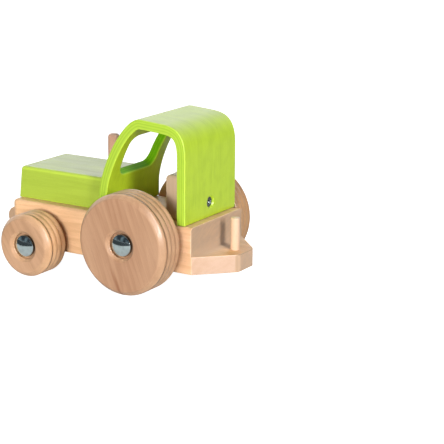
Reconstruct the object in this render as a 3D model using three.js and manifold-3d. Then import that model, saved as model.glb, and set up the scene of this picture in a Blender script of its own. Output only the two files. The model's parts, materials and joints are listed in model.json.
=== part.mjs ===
// Wooden toy tractor: beech chassis and wheels, green hood, bent plywood cab.
// Millimetres. +X is the tractor's front, +Y its left, +Z up. The origin lies on the
// ground, in the middle of the length and width.

import * as THREE from 'three';
import { mergeVertices } from 'three/addons/utils/BufferGeometryUtils.js';
import Module from 'manifold-3d';

const wasm = await Module();
wasm.setup();

// ---- Driving dimensions ----

const totalLength = 187.8;
const rearEndX = -totalLength / 2;
const rearAxleX = rearEndX + 64;
const wheelbase = 82;
const frontAxleX = rearAxleX + wheelbase;

const rearWheelRadius = 35;
const frontWheelRadius = 22.2;
const wheelWidth = 20.8;
const wheelFaceY = 58.4;
const wheelInnerY = wheelFaceY - wheelWidth;

const chassis = {
  halfWidth: 33.2, bottom: 15, top: 47.5, stepX: rearAxleX - 40.6, frontX: rearAxleX + 111.6,
};
const shelf = { top: 27.5, endHalfWidth: 9.8 };
const hood = { halfWidth: 26.4, top: 70.7, rearX: rearAxleX + 35.3, frontX: rearAxleX + 110.8, lean: 2.4 };
const cab = { halfWidth: 32.8, rearX: rearAxleX - 35.2, frontX: rearAxleX + 35, top: 116.4, ply: 6.6 };
const seat = { halfWidth: 20, depth: 16.8, top: 78 };
const screw = {
  z: 58, headRadius: 4.3, headHeight: 2.6, headSunk: 0.2, shankRadius: 1.9, length: 19, tip: 3,
};
const bumper = { radius: 7, halfLength: 22.5, z: 31.2, flatBack: 1.9, edge: 1 };

const axleRadius = 2.5;
const runningClearance = 0.08;
const glueGap = 0.1;
const washerGap = 0.3;
const woodEdge = 1.5;
const plyEdge = 0.7;
const woodCorner = 2.6;
const dowelRadius = 3;

const roundSides = 32;
const smallSides = 16;
const bumperCurveSteps = 10;
const cabCurveSteps = 9;

// ---- Materials ----

const beech = new THREE.MeshStandardMaterial({ color: '#dcb389', roughness: 0.6, metalness: 0 });
const greenBeech = new THREE.MeshStandardMaterial({ color: '#a9cf3a', roughness: 0.5, metalness: 0 });
const greenPly = new THREE.MeshStandardMaterial({ color: '#acd339', roughness: 0.45, metalness: 0 });
const steel = new THREE.MeshStandardMaterial({ color: '#b9bcc0', roughness: 0.35, metalness: 1 });
const chrome = new THREE.MeshStandardMaterial({ color: '#d5dadd', roughness: 0.12, metalness: 1 });

// ---- Shape helpers ----

// A closed outline through points [x, y], each corner rounded by the one radius.
function roundedOutline(points, radius) {
  const target = new THREE.Shape();
  const corners = points.map(([x, y]) => new THREE.Vector2(x, y));
  corners.forEach((corner, i) => {
    const before = corners[(i + corners.length - 1) % corners.length];
    const after = corners[(i + 1) % corners.length];
    const arrive = corner.clone().add(before.clone().sub(corner).setLength(radius));
    const leave = corner.clone().add(after.clone().sub(corner).setLength(radius));
    if (i === 0) target.moveTo(arrive.x, arrive.y);
    else target.lineTo(arrive.x, arrive.y);
    target.quadraticCurveTo(corner.x, corner.y, leave.x, leave.y);
  });
  target.closePath();
  return target;
}

// An X-Z outline drawn out along Y, centred on Y = 0, with softened ends.
function extrudeAcross(outline, halfWidth, edge = woodEdge, curveSegments = 3) {
  const geometry = new THREE.ExtrudeGeometry(outline, {
    depth: 2 * (halfWidth - edge),
    bevelThickness: edge,
    bevelSize: edge,
    bevelOffset: -edge,
    bevelSegments: 2,
    curveSegments,
  });
  geometry.translate(0, 0, edge - halfWidth);
  geometry.rotateX(Math.PI / 2);
  return geometry;
}

// A cylinder between two heights on its own axis, which is 'x', 'y' or 'z' through centre.
function rod(axis, radius, from, to, centre, sides = smallSides) {
  const geometry = new THREE.CylinderGeometry(radius, radius, to - from, sides);
  geometry.translate(0, (from + to) / 2, 0);
  if (axis === 'x') geometry.rotateZ(-Math.PI / 2);
  if (axis === 'z') geometry.rotateX(Math.PI / 2);
  return geometry.translate(...centre);
}

// A turned peg standing along +Z: chamfered foot, straight shank, domed head.
function peg(radius, bottom, top, centre, domeHeight) {
  const chamfer = 0.5;
  const profile = [new THREE.Vector2(0, bottom), new THREE.Vector2(radius - chamfer, bottom)];
  profile.push(new THREE.Vector2(radius, bottom + chamfer));
  const domeSteps = 4;
  for (let i = 0; i <= domeSteps; i++) {
    const angle = (i / domeSteps) * Math.PI / 2;
    const height = top - domeHeight + domeHeight * Math.sin(angle);
    profile.push(new THREE.Vector2(i === domeSteps ? 0 : radius * Math.cos(angle), height));
  }
  const geometry = new THREE.LatheGeometry(profile, smallSides);
  geometry.rotateX(Math.PI / 2);
  return geometry.translate(...centre);
}

function toSolid(geometry) {
  const bare = geometry.clone();
  bare.deleteAttribute('normal');
  bare.deleteAttribute('uv');
  const merged = mergeVertices(bare.index ? bare.toNonIndexed() : bare, 1e-4);
  const mesh = new wasm.Mesh({
    numProp: 3,
    vertProperties: new Float32Array(merged.attributes.position.array),
    triVerts: new Uint32Array(merged.index.array),
  });
  return new wasm.Manifold(mesh);
}

function toGeometry(solid) {
  const mesh = solid.getMesh();
  const geometry = new THREE.BufferGeometry();
  geometry.setAttribute('position', new THREE.BufferAttribute(mesh.vertProperties, 3));
  geometry.setIndex(new THREE.BufferAttribute(mesh.triVerts, 1));
  const flat = geometry.toNonIndexed();
  flat.computeVertexNormals();
  return flat;
}

function cut(geometry, cutters) {
  const whole = toSolid(geometry);
  return toGeometry(cutters.reduce((solid, cutter) => solid.subtract(toSolid(cutter)), whole));
}

function piece(name, geometry, material) {
  const mesh = new THREE.Mesh(geometry, material);
  mesh.name = name;
  return mesh;
}

// ---- Dowels, which also drill their own holes ----

const dowelChamfer = 0.6;

// Each dowel: its axis, the span along that axis and the point its axis passes through.
const dowels = {
  hood_dowel_rear: { axis: 'z', from: -12, to: 10, centre: [hood.rearX + 24, 0, chassis.top] },
  hood_dowel_front: { axis: 'z', from: -12, to: 10, centre: [hood.frontX - 14, 0, chassis.top] },
  cab_dowel_left: { axis: 'x', from: -4, to: 12, centre: [hood.rearX, 15, 57] },
  cab_dowel_right: { axis: 'x', from: -4, to: 12, centre: [hood.rearX, -15, 57] },
  seat_dowel: { axis: 'z', from: -10, to: 8, centre: [cab.rearX + cab.ply + seat.depth / 2, 0, chassis.top] },
  bumper_dowel: { axis: 'x', from: -12, to: 6, centre: [chassis.frontX, 0, bumper.z] },
};

function dowelHole(name) {
  const { axis, from, to, centre } = dowels[name];
  return rod(axis, dowelRadius + glueGap, from - glueGap, to + glueGap, centre);
}

function dowel(name) {
  const { axis, from, to, centre } = dowels[name];
  const profile = [
    new THREE.Vector2(0, from),
    new THREE.Vector2(dowelRadius - dowelChamfer, from),
    new THREE.Vector2(dowelRadius, from + dowelChamfer),
    new THREE.Vector2(dowelRadius, to - dowelChamfer),
    new THREE.Vector2(dowelRadius - dowelChamfer, to),
    new THREE.Vector2(0, to),
  ];
  const geometry = new THREE.LatheGeometry(profile, smallSides);
  if (axis === 'x') geometry.rotateZ(-Math.PI / 2);
  else geometry.rotateX(Math.PI / 2);
  return piece(name, geometry.translate(...centre), beech);
}

// ---- Pegs that show ----

const hitch = { x: rearAxleX - 55.1, radius: 3.1, top: 50, sunk: 9, dome: 1 };
const exhaust = { x: rearAxleX + 44.9, radius: 4.2, top: 96.8, sunk: 11, dome: 3 };

function pegHole({ x, radius, sunk, top }, surface) {
  return rod('z', radius + glueGap, surface - sunk - glueGap, top, [x, 0, 0]);
}

function standingPeg(name, { x, radius, sunk, top, dome }, surface) {
  return piece(name, peg(radius, surface - sunk, top, [x, 0, 0], dome), beech);
}

// ---- Chassis, hood, seat and bumper ----

function chassisBlock() {
  const side = roundedOutline([
    [rearEndX, chassis.bottom],
    [chassis.frontX, chassis.bottom],
    [chassis.frontX, chassis.top],
    [chassis.stepX, chassis.top],
    [chassis.stepX, shelf.top],
    [rearEndX, shelf.top],
  ], woodCorner);
  const plan = roundedOutline([
    [rearEndX, -shelf.endHalfWidth],
    [chassis.stepX, -chassis.halfWidth],
    [chassis.frontX + woodEdge, -chassis.halfWidth - woodEdge],
    [chassis.frontX + woodEdge, chassis.halfWidth + woodEdge],
    [chassis.stepX, chassis.halfWidth],
    [rearEndX, shelf.endHalfWidth],
  ], woodCorner);
  const planPrism = new THREE.ExtrudeGeometry(plan, {
    depth: totalLength, bevelEnabled: false, curveSegments: 3,
  });
  const block = toSolid(extrudeAcross(side, chassis.halfWidth)).intersect(toSolid(planPrism));
  const bore = axleRadius + runningClearance;
  const holes = [
    rod('y', bore, -wheelFaceY, wheelFaceY, [rearAxleX, 0, rearWheelRadius], roundSides),
    rod('y', bore, -wheelFaceY, wheelFaceY, [frontAxleX, 0, frontWheelRadius], roundSides),
    pegHole(hitch, shelf.top),
    dowelHole('hood_dowel_rear'),
    dowelHole('hood_dowel_front'),
    dowelHole('seat_dowel'),
    dowelHole('bumper_dowel'),
  ];
  return piece('chassis', cut(toGeometry(block), holes), beech);
}

function hoodBlock() {
  const side = roundedOutline([
    [hood.rearX, chassis.top + glueGap],
    [hood.frontX, chassis.top + glueGap],
    [hood.frontX - hood.lean, hood.top],
    [hood.rearX, hood.top],
  ], woodCorner);
  const holes = [
    dowelHole('hood_dowel_rear'),
    dowelHole('hood_dowel_front'),
    dowelHole('cab_dowel_left'),
    dowelHole('cab_dowel_right'),
    pegHole(exhaust, hood.top),
  ];
  return piece('hood', cut(extrudeAcross(side, hood.halfWidth), holes), greenBeech);
}

function seatBlock() {
  const rearX = cab.rearX + cab.ply + glueGap;
  const side = roundedOutline([
    [rearX, chassis.top + glueGap],
    [rearX + seat.depth, chassis.top + glueGap],
    [rearX + seat.depth, seat.top],
    [rearX, seat.top],
  ], woodCorner);
  const pilot = rod('x', screw.shankRadius + glueGap, 0, screw.length + glueGap, [cab.rearX, 0, screw.z]);
  const block = extrudeAcross(side, seat.halfWidth);
  return piece('seat_block', cut(block, [dowelHole('seat_dowel'), pilot]), beech);
}

// A round bar with a narrow flat planed on its back, which lies on the chassis' front face.
function bumperBar() {
  const { radius, flatBack, edge, halfLength, z } = bumper;
  const centreX = chassis.frontX + glueGap + radius - flatBack;
  const flatAngle = Math.acos((radius - flatBack) / radius);
  const section = new THREE.Shape();
  section.absarc(centreX, z, radius, flatAngle - Math.PI, Math.PI - flatAngle, false);
  section.closePath();
  const bar = extrudeAcross(section, halfLength, edge, bumperCurveSteps);
  return piece('bumper_bar', cut(bar, [dowelHole('bumper_dowel')]), beech);
}

// ---- Cab ----

// The outer skin in the X-Z plane. It starts at the windscreen wall's foot, goes up and over
// the roof, which falls a little towards the back, and ends at the rear wall's foot.
const cabSkin = {
  frontRise: 10.5,
  frontPull: 32,
  roofFront: 33.5,
  roofFrontPull: 20.5,
  roofRear: 19,
  roofRearPull: 7.5,
  roofFall: 1.2,
  roofRearDrop: 2,
  rearBend: 23,
  rearPull: 5.7,
};

function cabCurve() {
  const foot = chassis.top + glueGap;
  const { frontX, rearX, top } = cab;
  const bend = cabSkin;
  const path = new THREE.Path();
  path.moveTo(frontX, foot);
  path.lineTo(frontX, foot + bend.frontRise);
  path.bezierCurveTo(
    frontX, foot + bend.frontPull, frontX - bend.roofFrontPull, top, frontX - bend.roofFront, top,
  );
  path.lineTo(rearX + bend.roofRear, top - bend.roofFall);
  path.bezierCurveTo(
    rearX + bend.roofRearPull, top - bend.roofRearDrop,
    rearX, top - bend.rearPull,
    rearX, top - bend.rearBend,
  );
  path.lineTo(rearX, foot);
  return path;
}

function cabOutline() {
  const outer = cabCurve().getPoints(cabCurveSteps);
  const inner = outer.map((point, i) => {
    const before = outer[Math.max(i - 1, 0)];
    const after = outer[Math.min(i + 1, outer.length - 1)];
    const along = after.clone().sub(before).normalize();
    return point.clone().add(new THREE.Vector2(-along.y, along.x).multiplyScalar(cab.ply));
  });
  return new THREE.Shape([...outer, ...inner.reverse()]);
}

// The windscreen opening is cut square to the leaning part of the wall.
const windscreen = {
  halfWidth: 23, height: 33, corner: 7, lean: THREE.MathUtils.degToRad(29),
  centre: [rearAxleX + 20.6, 0, 88.8],
};

function windscreenCutter() {
  const { halfWidth, height, corner, lean, centre } = windscreen;
  const reach = 1.5 * cab.ply;
  const outline = roundedOutline([
    [-height / 2, -halfWidth],
    [height / 2, -halfWidth],
    [height / 2, halfWidth],
    [-height / 2, halfWidth],
  ], corner);
  const cutter = new THREE.ExtrudeGeometry(outline, {
    depth: 2 * reach, bevelEnabled: false, curveSegments: 4,
  });
  cutter.translate(0, 0, -reach);
  cutter.rotateY(Math.PI / 2 - lean);
  return cutter.translate(...centre);
}

function cabShell() {
  const shell = extrudeAcross(cabOutline(), cab.halfWidth, plyEdge);
  const joinery = [dowelHole('cab_dowel_left'), dowelHole('cab_dowel_right'), screwSpace()];
  return piece('cab_shell', cut(shell, [windscreenCutter(), ...joinery]), greenPly);
}

// ---- Cab screw: countersunk, cross-head, through the rear wall into the seat block ----

// Turned about the screw's own axis, from a profile of [radius, depth below the wall's face].
function turnedOnScrewAxis(profile) {
  const points = profile.map(([r, depth]) => new THREE.Vector2(r, depth));
  const geometry = new THREE.LatheGeometry(points, smallSides);
  geometry.rotateZ(-Math.PI / 2);
  return geometry.translate(cab.rearX, 0, screw.z);
}

function screwSpace() {
  const { headRadius, headHeight, headSunk, shankRadius } = screw;
  const past = 2;
  const head = headRadius + glueGap;
  const shank = shankRadius + glueGap;
  const coneStart = headSunk + 2 * glueGap;
  return turnedOnScrewAxis([
    [0, -past],
    [head, -past],
    [head, coneStart],
    [shank, coneStart + headHeight],
    [shank, cab.ply + past],
    [0, cab.ply + past],
  ]);
}

function cabScrew() {
  const { headRadius, headHeight, headSunk, shankRadius, length, tip } = screw;
  const body = turnedOnScrewAxis([
    [0, headSunk],
    [headRadius, headSunk],
    [shankRadius, headSunk + headHeight],
    [shankRadius, length - tip],
    [0, length],
  ]);
  const slot = { length: 4.6, width: 0.9, depth: 1.6 };
  const slots = [[slot.length, slot.width], [slot.width, slot.length]].map(([width, height]) => {
    const box = new THREE.BoxGeometry(2 * slot.depth, width, height);
    return box.translate(cab.rearX + headSunk, 0, screw.z);
  });
  return piece('cab_screw', cut(body, slots), steel);
}

// ---- Wheels, caps, washers and axles, all turned about Y ----

const shoulder = { drop: 3.4, width: 3.6, crown: 0.3 };
const groove = { depth: 1, halfWidth: 1.1, first: 4.3, pitch: 4.9, count: 3 };
const innerEdge = 1;
const hub = { recessRadius: 9.3, recessDepth: 4.6, rimChamfer: 2, bossRadius: 10 };
const cap = { radius: 7.7, skirt: 2.6, dome: 1.5, boreEnd: 0.7 };
const washer = { radius: 8, thickness: 1.2 };
const washerY = chassis.halfWidth + washerGap;
const bossY = washerY + washer.thickness + washerGap;
const recessFloorY = wheelFaceY - hub.recessDepth;

// A left wheel's section, from its bore round the boss, tread, face and recess.
function wheelProfile(radius) {
  const bore = axleRadius + runningClearance;
  const grooves = Array.from({ length: groove.count }, (_, i) => {
    const middle = wheelInnerY + groove.first + i * groove.pitch;
    return [
      [radius, middle - groove.halfWidth],
      [radius - groove.depth, middle],
      [radius, middle + groove.halfWidth],
    ];
  }).flat();
  return [
    [bore, bossY],
    [hub.bossRadius, bossY],
    [hub.bossRadius, wheelInnerY],
    [radius - innerEdge, wheelInnerY],
    [radius, wheelInnerY + innerEdge],
    ...grooves,
    [radius, wheelFaceY - shoulder.width],
    [radius - shoulder.drop * shoulder.crown, wheelFaceY - shoulder.width * shoulder.crown],
    [radius - shoulder.drop, wheelFaceY],
    [hub.recessRadius + hub.rimChamfer, wheelFaceY],
    [hub.recessRadius, wheelFaceY - hub.rimChamfer],
    [hub.recessRadius, recessFloorY],
    [bore, recessFloorY],
    [bore, bossY],
  ];
}

function turned(profile, sides) {
  return new THREE.LatheGeometry(profile.map(([r, y]) => new THREE.Vector2(r, y)), sides);
}

// A cap is pressed on the axle's end: a short skirt under a low dome, with a blind bore.
function capProfile() {
  const base = recessFloorY + glueGap;
  const bore = axleRadius + glueGap;
  const boreTop = base + cap.skirt + cap.boreEnd;
  const domeSteps = 3;
  const sphere = (cap.radius ** 2 + cap.dome ** 2) / (2 * cap.dome);
  const halfAngle = Math.asin(cap.radius / sphere);
  const dome = Array.from({ length: domeSteps + 1 }, (_, i) => {
    const angle = halfAngle * (1 - i / domeSteps);
    const height = sphere * Math.cos(angle) - (sphere - cap.dome);
    return [i === domeSteps ? 0 : sphere * Math.sin(angle), base + cap.skirt + height];
  });
  return [[0, boreTop], [bore, boreTop], [bore, base], [cap.radius, base], ...dome];
}

function washerProfile() {
  const bore = axleRadius + glueGap;
  const outerY = washerY + washer.thickness;
  return [
    [bore, washerY],
    [washer.radius, washerY],
    [washer.radius, outerY],
    [bore, outerY],
    [bore, washerY],
  ];
}

// One axle with everything on it, in a group at the axle's centre. The right-hand
// pieces are the left-hand ones turned half round about Z.
function wheelSet(end, axleX, wheelRadius) {
  const set = new THREE.Group();
  set.position.set(axleX, 0, wheelRadius);
  const axleEnd = recessFloorY + cap.skirt;
  set.add(piece(`${end}_axle`, rod('y', axleRadius, -axleEnd, axleEnd, [0, 0, 0], roundSides), steel));
  for (const [side, turn] of [['left', 0], ['right', Math.PI]]) {
    const group = new THREE.Group();
    group.rotation.z = turn;
    group.add(piece(`${end}_wheel_${side}`, turned(wheelProfile(wheelRadius), roundSides), beech));
    group.add(piece(`${end}_cap_${side}`, turned(capProfile(), roundSides), chrome));
    group.add(piece(`${end}_washer_${side}`, turned(washerProfile(), roundSides), steel));
    set.add(group);
  }
  return set;
}

// ---- Assembly ----

const tractor = new THREE.Group();
tractor.add(chassisBlock(), hoodBlock(), seatBlock(), bumperBar(), cabShell(), cabScrew());
tractor.add(standingPeg('hitch_peg', hitch, shelf.top));
tractor.add(standingPeg('exhaust_peg', exhaust, hood.top));
tractor.add(...Object.keys(dowels).map(dowel));
tractor.add(wheelSet('rear', rearAxleX, rearWheelRadius));
tractor.add(wheelSet('front', frontAxleX, frontWheelRadius));

export default tractor;
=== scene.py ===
"""Looks for the wooden toy tractor: beech chassis and wheels, lime-green hood, bent plywood cab.

Meshes are worked out in millimetres in the CAD frame and scaled to metres when they are made.
Colours are linear. Azimuths run from +X to +Y, and they and elevations are in degrees.
"""

import json
import math

import bmesh
import bpy
from mathutils import Matrix, Vector, geometry


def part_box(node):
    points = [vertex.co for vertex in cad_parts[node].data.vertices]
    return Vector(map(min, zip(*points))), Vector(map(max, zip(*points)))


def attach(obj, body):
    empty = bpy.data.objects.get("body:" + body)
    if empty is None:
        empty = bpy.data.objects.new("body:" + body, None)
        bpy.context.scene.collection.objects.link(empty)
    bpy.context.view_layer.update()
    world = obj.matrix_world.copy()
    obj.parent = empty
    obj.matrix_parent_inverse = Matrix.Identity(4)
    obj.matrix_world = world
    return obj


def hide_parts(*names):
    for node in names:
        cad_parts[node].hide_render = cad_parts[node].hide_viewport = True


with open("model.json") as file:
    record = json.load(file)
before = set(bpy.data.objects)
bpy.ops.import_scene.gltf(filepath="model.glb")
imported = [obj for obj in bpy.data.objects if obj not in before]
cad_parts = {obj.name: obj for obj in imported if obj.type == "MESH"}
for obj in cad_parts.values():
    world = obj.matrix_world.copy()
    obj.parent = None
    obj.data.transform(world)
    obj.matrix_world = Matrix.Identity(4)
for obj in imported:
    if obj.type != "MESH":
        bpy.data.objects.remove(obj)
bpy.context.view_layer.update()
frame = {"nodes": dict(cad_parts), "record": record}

MM = 0.001
scene = bpy.context.scene


def box_mm(node):
    """Lowest and highest corner of a CAD node, in millimetres."""
    low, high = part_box(node)
    return low / MM, high / MM


def turned_part(node):
    """For a part turned about its axle: its box, its radius, and its axle's place in the X-Z plane."""
    low, high = box_mm(node)
    return low, high, (high.z - low.z) / 2, Vector(((high.x + low.x) / 2, 0, (high.z + low.z) / 2))


# ---- Camera and lights ----

CAMERA_PLACE = (-0.5852, 0.8455, 0.3068)
CAMERA_AZIMUTH = -58.859
CAMERA_ELEVATION = -14.83
CAMERA_ROLL = math.radians(0.517)
CAMERA_CLIP = 0.02
SENSOR_WIDTH = 36.0
FOCAL_IN_WIDTHS = 3.3784


def direction(azimuth, elevation):
    """Unit vector towards an azimuth and an elevation."""
    a, e = math.radians(azimuth), math.radians(elevation)
    return Vector((math.cos(a) * math.cos(e), math.sin(a) * math.cos(e), math.sin(e)))


def make_camera():
    data = bpy.data.cameras.new("camera")
    data.sensor_width = SENSOR_WIDTH
    data.lens = FOCAL_IN_WIDTHS * SENSOR_WIDTH
    data.clip_start = CAMERA_CLIP
    forward = direction(CAMERA_AZIMUTH, CAMERA_ELEVATION)
    level_right = forward.cross(Vector((0, 0, 1))).normalized()
    level_up = level_right.cross(forward)
    right = math.cos(CAMERA_ROLL) * level_right + math.sin(CAMERA_ROLL) * level_up
    up = right.cross(forward)
    turn = Matrix((right, up, -forward)).transposed().to_4x4()
    camera = bpy.data.objects.new("camera", data)
    camera.matrix_world = Matrix.Translation(CAMERA_PLACE) @ turn
    scene.collection.objects.link(camera)
    scene.camera = camera


LIGHT_TARGET = Vector((-0.02, 0.0, 0.05))
LIGHT_DISTANCE = 1.5


def make_light(name, azimuth, elevation, size, level):
    """A softbox, size wide and high. A white card that faces it from the target has the radiance level."""
    data = bpy.data.lights.new(name, "AREA")
    data.shape = "RECTANGLE"
    data.size, data.size_y = size
    data.energy = level * math.pi**2 * LIGHT_DISTANCE**2
    towards = direction(azimuth, elevation)
    light = bpy.data.objects.new(name, data)
    turn = towards.to_track_quat("Z", "Y").to_matrix().to_4x4()
    light.matrix_world = Matrix.Translation(LIGHT_TARGET + towards * LIGHT_DISTANCE) @ turn
    scene.collection.objects.link(light)
    return light


# ---- Node graphs ----


class Graph:
    """Short ways to add nodes to a material or world and link them."""

    def __init__(self, tree):
        self.tree = tree
        tree.nodes.clear()

    def node(self, kind, **settings):
        made = self.tree.nodes.new(kind)
        for key, value in settings.items():
            setattr(made, key, value)
        return made

    def put(self, socket, value):
        if isinstance(value, bpy.types.NodeSocket):
            self.tree.links.new(value, socket)
        else:
            socket.default_value = value

    def math(self, operation, a, b=0.0, clamp=False):
        made = self.node("ShaderNodeMath", operation=operation, use_clamp=clamp)
        self.put(made.inputs[0], a)
        self.put(made.inputs[1], b)
        return made.outputs[0]

    def vector(self, operation, a, b=(0, 0, 0)):
        made = self.node("ShaderNodeVectorMath", operation=operation)
        self.put(made.inputs[0], a)
        self.put(made.inputs[1], b)
        return made.outputs["Value" if operation in ("DOT_PRODUCT", "LENGTH") else "Vector"]

    def scaled(self, vector, scale):
        return self.vector("MULTIPLY", vector, scale)

    def split(self, vector):
        made = self.node("ShaderNodeSeparateXYZ")
        self.put(made.inputs[0], vector)
        return made.outputs

    def join(self, x, y, z):
        made = self.node("ShaderNodeCombineXYZ")
        for socket, value in zip(made.inputs, (x, y, z)):
            self.put(socket, value)
        return made.outputs[0]

    def noise(self, vector, scale=1.0, detail=2.0, roughness=0.5, output="Fac"):
        made = self.node("ShaderNodeTexNoise")
        self.put(made.inputs["Vector"], vector)
        made.inputs["Scale"].default_value = scale
        made.inputs["Detail"].default_value = detail
        made.inputs["Roughness"].default_value = roughness
        return made.outputs[output]

    def span(self, value, low, high, to_low=0.0, to_high=1.0):
        """Goes smoothly from to_low to to_high as value goes from low to high, and no further."""
        made = self.node("ShaderNodeMapRange", interpolation_type="SMOOTHSTEP")
        self.put(made.inputs["Value"], value)
        made.inputs["From Min"].default_value = low
        made.inputs["From Max"].default_value = high
        made.inputs["To Min"].default_value = to_low
        made.inputs["To Max"].default_value = to_high
        return made.outputs["Result"]

    def mix(self, amount, a, b, blend="MIX"):
        made = self.node("ShaderNodeMix", data_type="RGBA", blend_type=blend)
        self.put(made.inputs["Factor"], amount)
        self.put(made.inputs[6], (*a, 1) if isinstance(a, tuple) else a)
        self.put(made.inputs[7], (*b, 1) if isinstance(b, tuple) else b)
        return made.outputs[2]

    def attribute(self, name, output="Fac"):
        return self.node("ShaderNodeAttribute", attribute_name=name).outputs[output]

    def bump(self, height, distance_mm):
        made = self.node("ShaderNodeBump")
        self.put(made.inputs["Height"], height)
        made.inputs["Strength"].default_value = 1.0
        made.inputs["Distance"].default_value = distance_mm * MM
        return made.outputs["Normal"]


def new_material(name):
    material = bpy.data.materials.new(name)
    material.use_nodes = True
    graph = Graph(material.node_tree)
    shader = graph.node("ShaderNodeBsdfPrincipled")
    output = graph.node("ShaderNodeOutputMaterial")
    graph.tree.links.new(shader.outputs[0], output.inputs["Surface"])
    return material, graph, shader


# ---- World, floor and reflection card ----

BACKDROP_AZIMUTH = 301
BACKDROP_ELEVATION = 14
BACKDROP_LEVEL = 1.75
ROOM_DARK = (0.03, 0.036, 0.043)
ROOM_BRIGHT = (0.17, 0.205, 0.23)
FLOOR_HALF = 8.0
FLOOR_ALBEDO = 0.5
FLOOR_SHEEN = 0.16
CARD_ALBEDO = (0.03, 0.035, 0.04, 1)
CARD_MIDDLE = (72, 145, 1.5)
CARD_AZIMUTH = 53
CARD_HALF_WIDTH = 1.0
CARD_LENGTH = 2.0


def make_world():
    """A white backdrop behind the object, a dark and blotchy studio elsewhere, all white when looked at."""
    world = bpy.data.worlds.new("studio")
    scene.world = world
    world.use_nodes = True
    graph = Graph(world.node_tree)
    towards = graph.node("ShaderNodeTexCoord").outputs["Generated"]
    backdrop = tuple(direction(BACKDROP_AZIMUTH, BACKDROP_ELEVATION))
    facing = graph.span(graph.vector("DOT_PRODUCT", towards, backdrop), 0.35, 0.9)
    white = graph.math("MULTIPLY", facing, graph.span(graph.split(towards)[2], 0.95, 0.6))
    blotch = graph.span(graph.noise(towards, scale=2.6, detail=1.5), 0.42, 0.66)
    room = graph.mix(blotch, ROOM_DARK, ROOM_BRIGHT)
    seen = graph.mix(white, room, (BACKDROP_LEVEL,) * 3)
    camera_ray = graph.node("ShaderNodeLightPath").outputs["Is Camera Ray"]
    background = graph.node("ShaderNodeBackground")
    graph.put(background.inputs["Color"], graph.mix(camera_ray, seen, (1.0, 1.0, 1.0)))
    output = graph.node("ShaderNodeOutputWorld")
    graph.tree.links.new(background.outputs[0], output.inputs["Surface"])


def make_floor():
    """A studio floor. Its glow shows to the camera, and faintly in reflections, but lights nothing."""
    material, graph, shader = new_material("white_floor")
    shader.inputs["Base Color"].default_value = (FLOOR_ALBEDO,) * 3 + (1,)
    shader.inputs["Roughness"].default_value = 0.9
    shader.inputs["Emission Color"].default_value = (1, 1, 1, 1)
    ray = graph.node("ShaderNodeLightPath").outputs
    mirrored = graph.math("MULTIPLY", ray["Is Glossy Ray"], FLOOR_SHEEN)
    graph.put(shader.inputs["Emission Strength"], graph.math("ADD", ray["Is Camera Ray"], mirrored))
    half = FLOOR_HALF
    mesh = bpy.data.meshes.new("floor")
    corners = [(-half, -half, 0), (half, -half, 0), (half, half, 0), (-half, half, 0)]
    mesh.from_pydata(corners, [], [(0, 1, 2, 3)])
    mesh.materials.append(material)
    floor = bpy.data.objects.new("floor", mesh)
    scene.collection.objects.link(floor)


def make_reflection_card():
    """A dark card on the floor beside the tractor, seen only in the reflections of the hub caps."""
    material, _, shader = new_material("dark_card")
    shader.inputs["Base Color"].default_value = CARD_ALBEDO
    shader.inputs["Roughness"].default_value = 0.8
    near = Vector(CARD_MIDDLE) * MM
    away = direction(CARD_AZIMUTH, 0)
    along = CARD_HALF_WIDTH * away.cross(Vector((0, 0, 1)))
    far = near + CARD_LENGTH * away
    corners = [near - along, near + along, far + along, far - along]
    mesh = bpy.data.meshes.new("reflection_card")
    mesh.from_pydata(corners, [], [(0, 1, 2, 3)])
    mesh.materials.append(material)
    card = bpy.data.objects.new("reflection_card", mesh)
    scene.collection.objects.link(card)
    card.visible_camera = False
    card.visible_diffuse = False
    card.visible_shadow = False
    card.visible_transmission = False


# ---- Materials ----

BEECH = {"light": (0.93, 0.59, 0.335), "dark": (0.76, 0.45, 0.235), "end": (0.475, 0.32, 0.21)}
SEAT_BEECH = {"light": (0.655, 0.47, 0.325), "dark": (0.55, 0.385, 0.255), "end": (0.70, 0.52, 0.36)}
WHEEL_BEECH = {"light": (0.58, 0.34, 0.19), "dark": (0.46, 0.245, 0.13), "end": (0.68, 0.42, 0.24)}
FRONT_BEECH = {"light": (0.76, 0.45, 0.24), "dark": (0.60, 0.34, 0.17), "end": (0.78, 0.48, 0.26)}
EXHAUST_BEECH = {"light": (0.66, 0.39, 0.27), "dark": (0.54, 0.30, 0.20), "end": (0.68, 0.42, 0.28)}
PALE_BEECH = {"light": (0.78, 0.52, 0.35), "dark": (0.70, 0.45, 0.29), "end": (0.76, 0.52, 0.36)}
GREEN_BEECH = {"light": (0.392, 0.517, 0.053), "dark": (0.33, 0.44, 0.041), "end": (0.40, 0.54, 0.05)}
WHEEL_WOODS = {"rear": (WHEEL_BEECH, (0.825, 0.815, 0.85)), "front": (FRONT_BEECH, (0.72, 0.71, 0.77))}
STREAK_TINT = (0.72, 0.58, 0.5)
# Painted shade: the low shelf top is darkened as if in the shadow of the cab.
SHELF_TOP_PAINTED_SHADE = (0.78, 0.68, 0.5)
# Painted sheen: the shelf's slanted faces are made paler and bluer, like a broad highlight.
SLANTED_PAINTED_SHEEN = (0.97, 1.07, 1.28)
# Painted shade: the rear part of each side of the chassis is darkened.
REAR_SIDE_PAINTED_SHADE = (0.88, 0.85, 0.88)
# Painted light: the shelf's end face is made brighter than the rear face above it.
SHELF_END_PAINTED_LIGHT = (1.22, 1.22, 1.24)
# Painted shade: a dark line along the inner corner where the shelf meets the rear face.
CORNER_PAINTED_SHADE_LINE = (0.5, 0.4, 0.32)
RING_SPACING = 3.4


def tinted(color, tint):
    return tuple(map(math.prod, zip(color, tint)))


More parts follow.
